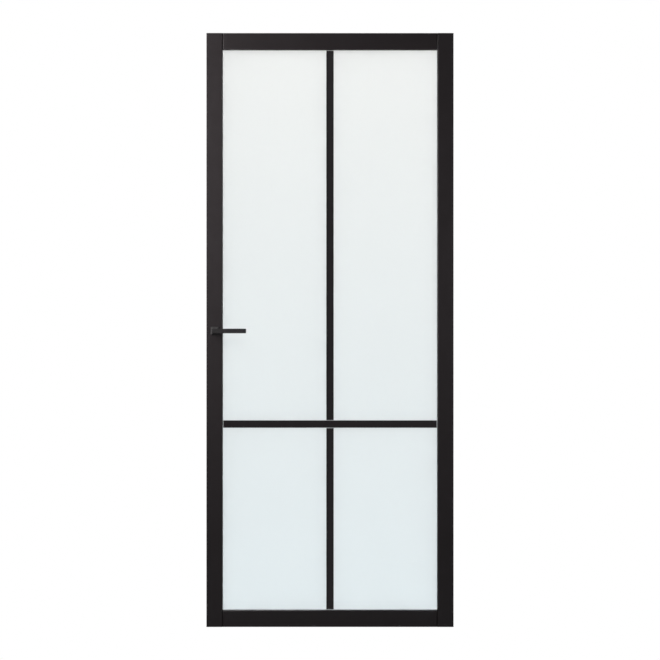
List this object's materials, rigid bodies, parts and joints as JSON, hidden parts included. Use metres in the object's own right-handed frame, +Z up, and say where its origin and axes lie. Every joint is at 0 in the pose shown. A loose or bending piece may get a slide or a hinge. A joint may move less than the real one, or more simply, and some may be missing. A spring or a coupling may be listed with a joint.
{
  "type": "glass door",
  "caption": "Slim black-framed interior door leaf with a satin glass pane, applied glazing bars, a lever handle on a square rose and a magnetic latch.",
  "frame": {"origin": "middle of the leaf's bottom edge, at half its thickness", "axes": "+X from the lock side to the hinge side, +Y from the front face to the rear face, +Z up"},
  "size_m": [0.88, 0.144, 2.115],
  "materials": {
    "frame_lacquer": "warm black satin lacquer on timber",
    "bar_lacquer": "warm black satin lacquer on flat aluminium bar",
    "satin_glass": "satin etched, light scattering",
    "handle_black": "fine matt black powder coat",
    "black_foam": "closed-cell foam tape",
    "dowel_beech": "raw beech",
    "block_plastic": "moulded nylon",
    "zinc_steel": "zinc-plated steel",
    "bolt_steel": "nickel-plated steel",
    "spring_steel": "drawn wire",
    "black_screw": "black oxide"
  },
  "bodies": {
    "leaf": {"bar_tape_front": "black_foam", "bar_tape_rear": "black_foam", "bead_bottom": "frame_lacquer", "bead_hinge_side": "frame_lacquer", "bead_lock_side": "frame_lacquer", "bead_pins": "black_screw", "bead_top": "frame_lacquer", "bottom_rail": "frame_lacquer", "cover_screws": "zinc_steel", "cross_bar_front": "bar_lacquer", "cross_bar_rear": "bar_lacquer", "forend_plate": "handle_black", "forend_screws": "black_screw", "glass_pane": "satin_glass", "glazing_tape_front": "black_foam", "glazing_tape_rear": "black_foam", "hinge_stile": "frame_lacquer", "latch_spring": "spring_steel", "lock_case": "zinc_steel", "lock_cover": "zinc_steel", "lock_stile": "frame_lacquer", "lower_bar_front": "bar_lacquer", "lower_bar_rear": "bar_lacquer", "rail_dowels": "dowel_beech", "return_spring": "spring_steel", "rose_base_front": "zinc_steel", "rose_base_rear": "zinc_steel", "rose_bush_front": "block_plastic", "rose_bush_rear": "block_plastic", "rose_front": "handle_black", "rose_rear": "handle_black", "rose_screws": "zinc_steel", "setting_blocks": "block_plastic", "top_rail": "frame_lacquer", "upper_bar_front": "bar_lacquer", "upper_bar_rear": "bar_lacquer"},
    "handle": {"lever_front": "handle_black", "lever_rear": "handle_black", "spindle": "zinc_steel", "grub_screws": "black_screw", "follower": "zinc_steel"},
    "latch": {"latch_bolt": "bolt_steel"}
  },
  "joints": [
    {"name": "handle_turn", "type": "hinge", "parent": "leaf", "child": "handle", "pos_m": [-0.41, 0, 1.054], "axis": [0, 1, 0], "range_deg": [0, 45], "stiffness_Nm_per_rad": 0.8, "springref_deg": -57.3, "deforming": ["return_spring"]},
    {"name": "latch_slide", "type": "slide", "parent": "leaf", "child": "latch", "axis": [-1, 0, 0], "range_m": [0, 0.009], "stiffness_N_per_m": 60, "springref_m": -0.01, "deforming": ["latch_spring"]}
  ]
}
